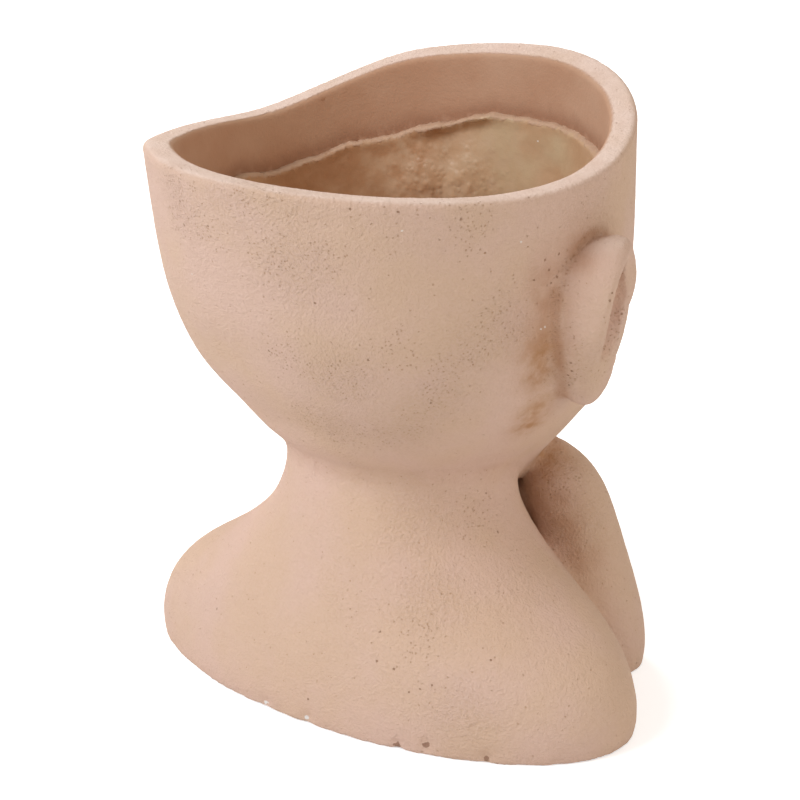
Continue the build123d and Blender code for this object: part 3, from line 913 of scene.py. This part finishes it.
def cast_material(cast):
    s = Shader("painted_cast")
    tree = tree_of(cast.data)
    inner = s.attribute("inner")
    rough = s.attribute("rough")
    pitted = s.attribute("pitted")
    outside = s.math("SUBTRACT", 1.0, inner)

    colour = s.mix(s.patches(*PAINT_PATCHES), *PAINT_COLOURS)
    sand = s.noise(*SAND)
    speckle = s.times(s.step(sand, *SAND_LEVELS), s.step(rough, 0.0, 1.0, *SAND_SHARES))
    speckle = s.times(speckle, s.step(inner, 0.0, 1.0, 1.0, SAND_INSIDE))
    colour = s.mix(speckle, colour, SAND_COLOUR)
    # Painted highlight on the up-facing rim top, with some paint wear
    highlight_and_wear = s.times(s.attribute("rim"), s.patches(*RIM_HIGHLIGHT_AND_WEAR_PATCHES))
    colour = s.mix(highlight_and_wear, colour, RIM_HIGHLIGHT_AND_WEAR_COLOUR)
    # Painted shade in the joint corners and on shaded sides, with a brown wash in the corners
    shade_and_wash = s.largest(s.attribute("crease"), s.attribute("side_shade"))
    colour = s.mix(s.times(shade_and_wash, s.patches(*SHADE_AND_WASH_PATCHES)), colour, SHADE_AND_WASH_COLOUR)
    # Orange-brown stain, partly painted shade
    stain_and_shade_mask = s.times(s.attribute("stain_and_shade"), s.patches(*STAIN_AND_SHADE_PATCHES))
    colour = s.mix(stain_and_shade_mask, colour, STAIN_AND_SHADE_COLOUR)
    # Inner wall: its redder paint, darkened further as painted shade
    inner_paint_and_shade = s.mix(s.patches(*INNER_PATCHES, detail=INNER_DETAIL), *INNER_PAINT_AND_SHADE_COLOURS)
    colour = s.mix(inner, colour, inner_paint_and_shade)
    # Painted shade of the groove above the resin's top edge
    colour = s.mix(s.times(s.attribute("groove_shade"), GROOVE_SHADE_STRENGTH), colour, GROOVE_SHADE_COLOUR)

    fine_share = s.times(outside, s.step(pitted, *FINE_PIT_SHARES))
    fine = s.times(s.pits(*FINE_PIT, fine_share), FINE_PIT_STRENGTH)
    coarse = s.pits(*COARSE_PIT, s.times(outside, s.step(pitted, *COARSE_PIT_SHARES)))
    scattered = s.largest(fine, coarse)
    colour = s.mix(s.times(scattered, PIT_STRENGTH), colour, PIT_COLOUR)
    placed = s.marks(seen_places(tree, PIT_PIXELS), PIT_RADIUS)
    colour = s.mix(s.times(placed, PIT_STRENGTH), colour, PLACED_PIT_COLOUR)
    holes = s.largest(scattered, placed)
    chips = s.marks(seen_places(tree, CHIP_PIXELS), CHIP_SHARE * CHIP[0])
    colour = s.mix(s.times(chips, CHIP_STRENGTH), colour, CHIP_COLOUR)
    bare = s.marks(seen_places(tree, BARE_CHIP_PIXELS), BARE_CHIP_SHARE * CHIP[0])
    flecks = s.marks(seen_places(tree, FLECK_PIXELS), FLECK_RADIUS)
    colour = s.mix(s.largest(bare, s.times(flecks, FLECK_STRENGTH)), colour, BARE_COLOUR)
    s.join(colour, s.surface.inputs["Base Color"])

    grain = s.times(sand, s.step(rough, 0.0, 1.0, *GRAIN_SHARES))
    peel = s.times(s.noise(*PEEL), PEEL_SHARE)
    relief = s.times(s.math("ADD", grain, peel), s.step(inner, 0.0, 1.0, 1.0, RELIEF_INSIDE))
    relief = s.math("SUBTRACT", relief, s.times(holes, PIT_DEPTH))
    s.bump(relief, RELIEF_DEPTH)
    s.join(s.patches(*CAST_ROUGHNESS), s.surface.inputs["Roughness"])
    s.surface.inputs["Specular IOR Level"].default_value = CAST_SPECULAR
    return s.material


def resin_material(lining):
    s = Shader("raw_resin_coat")
    mound = s.attribute("mound")
    colour = s.mix(s.patches(*RESIN_PATCHES), *RESIN_COLOURS)
    # Painted shadow under the ledge on the left of the bowl
    resin_shadow = s.times(s.attribute("resin_shadow"), s.patches(*RESIN_SHADOW_PATCHES))
    colour = s.mix(resin_shadow, colour, RESIN_SHADOW_COLOUR)
    yellow = s.times(s.attribute("yellow"), s.patches(*YELLOW_PATCHES))
    colour = s.mix(yellow, colour, YELLOW_COLOUR)
    pale = s.times(mound, s.patches(*PALE_PATCHES))
    colour = s.mix(pale, colour, PALE_COLOUR)
    crust = s.math("ADD", s.attribute("below"), s.patches(*CRUST_PATCHES))
    edge = s.step(crust, *CRUST_DEPTHS)
    colour = s.mix(edge, colour, CRUST_COLOUR)
    flecks = s.marks(seen_places(tree_of(lining.data), BOWL_FLECK_PIXELS), PIT_RADIUS)
    specks = s.largest(s.pits(*SPECK), flecks)
    colour = s.mix(specks, colour, SPECK_COLOUR)
    s.join(colour, s.surface.inputs["Base Color"])

    bubbles = s.times(s.step(s.cells(BUBBLE_CELL)[0], *BUBBLE_SLOPE), s.step(mound, *BUBBLE_LEVELS))
    swell = s.math("ADD", s.times(s.noise(SWELL_SIZE), SWELL_RELIEF), s.times(bubbles, BUBBLE_RELIEF))
    swell = s.math("ADD", swell, s.times(edge, s.times(s.noise(CRUST_SIZE), CRUST_RELIEF)))
    s.bump(swell, SWELL_DEPTH)
    s.join(s.step(edge, 0.0, 1.0, *RESIN_ROUGHNESS), s.surface.inputs["Roughness"])
    s.surface.inputs["Specular IOR Level"].default_value = RESIN_SPECULAR
    return s.material


def rubber_material():
    s = Shader("plug_rubber")
    highlight_and_wear = s.patches(*RUBBER_PATCHES)
    s.join(s.mix(highlight_and_wear, *RUBBER_COLOURS), s.surface.inputs["Base Color"])
    s.bump(s.noise(RUBBER_GRAIN), RUBBER_DEPTH)
    s.join(s.step(highlight_and_wear, 0.0, 1.0, *RUBBER_ROUGHNESS), s.surface.inputs["Roughness"])
    return s.material


# Stage
def area_light(name, place, target, size, power, colour=WHITE):
    light = bpy.data.lights.new(name, "AREA")
    light.shape = "DISK"
    light.size = size
    light.energy = power
    light.color = colour
    lamp = bpy.data.objects.new(name, light)
    bpy.context.scene.collection.objects.link(lamp)
    lamp.location = place
    lamp.rotation_mode = "QUATERNION"
    lamp.rotation_quaternion = (Vector(target) - Vector(place)).to_track_quat("-Z", "Y")


def from_camera(right, up, towards):
    """A place along the picture's right, the world's up and the way to the camera, from the target."""
    back = Vector((math.sin(CAMERA_AZIMUTH), -math.cos(CAMERA_AZIMUTH), 0))
    side = UP.cross(back)
    return CAMERA_TARGET + right * side + up * UP + towards * back


def seen_factor(tree):
    """1 where the camera looks, straight, in a reflection or through glass, and 0 for other light."""
    path = tree.nodes.new("ShaderNodeLightPath")
    total = path.outputs["Is Camera Ray"]
    for name in ("Is Glossy Ray", "Is Transmission Ray"):
        add = tree.nodes.new("ShaderNodeMath")
        add.operation = "ADD"
        tree.links.new(total, add.inputs[0])
        tree.links.new(path.outputs[name], add.inputs[1])
        add.use_clamp = True
        total = add.outputs[0]
    return total


def seen_value(tree, unseen, seen):
    """One number for light, and another for what the camera sees."""
    value = tree.nodes.new("ShaderNodeMapRange")
    value.inputs["To Min"].default_value = unseen
    value.inputs["To Max"].default_value = seen
    tree.links.new(seen_factor(tree), value.inputs["Value"])
    return value.outputs["Result"]


def make_stage():
    bm = bmesh.new()
    bmesh.ops.create_grid(bm, x_segments=1, y_segments=1, size=FLOOR_SIZE)
    mesh = bpy.data.meshes.new("floor")
    bm.to_mesh(mesh)
    bm.free()
    floor = link("floor", mesh)
    floor.location.z = -FLOOR_DROP
    s = Shader("pale_floor")
    s.surface.inputs["Base Color"].default_value = FLOOR_COLOUR
    s.surface.inputs["Roughness"].default_value = FLOOR_ROUGHNESS
    s.surface.inputs["Specular IOR Level"].default_value = FLOOR_SPECULAR
    s.surface.inputs["Emission Color"].default_value = (*WHITE, 1)
    s.join(seen_value(s.tree, 0.0, FLOOR_LIFT), s.surface.inputs["Emission Strength"])
    mesh.materials.append(s.material)

    world = bpy.data.worlds.new("studio")
    bpy.context.scene.world = world
    world.use_nodes = True
    tree = world.node_tree
    background = tree.nodes["Background"]
    colour = tree.nodes.new("ShaderNodeCombineColor")
    for name, unseen, seen in zip(("Red", "Green", "Blue"), WORLD_COLOUR, WHITE):
        tree.links.new(seen_value(tree, unseen, seen), colour.inputs[name])
    tree.links.new(colour.outputs["Color"], background.inputs["Color"])
    tree.links.new(seen_value(tree, WORLD_LIGHT, 1.0), background.inputs["Strength"])

    area_light("key", from_camera(*KEY_PLACE), CAMERA_TARGET, KEY_SIZE, KEY_POWER, KEY_COLOUR)
    area_light("fill", from_camera(*FILL_PLACE), CAMERA_TARGET, FILL_SIZE, FILL_POWER, FILL_COLOUR)
    area_light("front", from_camera(*FRONT_PLACE), CAMERA_TARGET, FRONT_SIZE, FRONT_POWER)


def make_camera():
    camera = bpy.data.objects.new("camera", bpy.data.cameras.new("camera"))
    bpy.context.scene.collection.objects.link(camera)
    back = camera_back()
    camera.location = CAMERA_TARGET + CAMERA_DISTANCE * back
    camera.rotation_mode = "QUATERNION"
    camera.rotation_quaternion = (-back).to_track_quat("-Z", "Y")
    camera.data.sensor_width = CAMERA_SENSOR
    camera.data.lens = CAMERA_LENS
    bpy.context.scene.camera = camera


def dress(piece, finish):
    piece.data.materials.clear()
    piece.data.materials.append(finish)


lining, resin_edge_line = make_lining()
dress(lining, resin_material(lining))
cast = make_cast(resin_edge_line)
dress(cast, cast_material(cast))
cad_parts["drain_plug"].material_slots[0].material = rubber_material()
make_stage()
make_camera()
bpy.context.scene.view_settings.view_transform = "Standard"
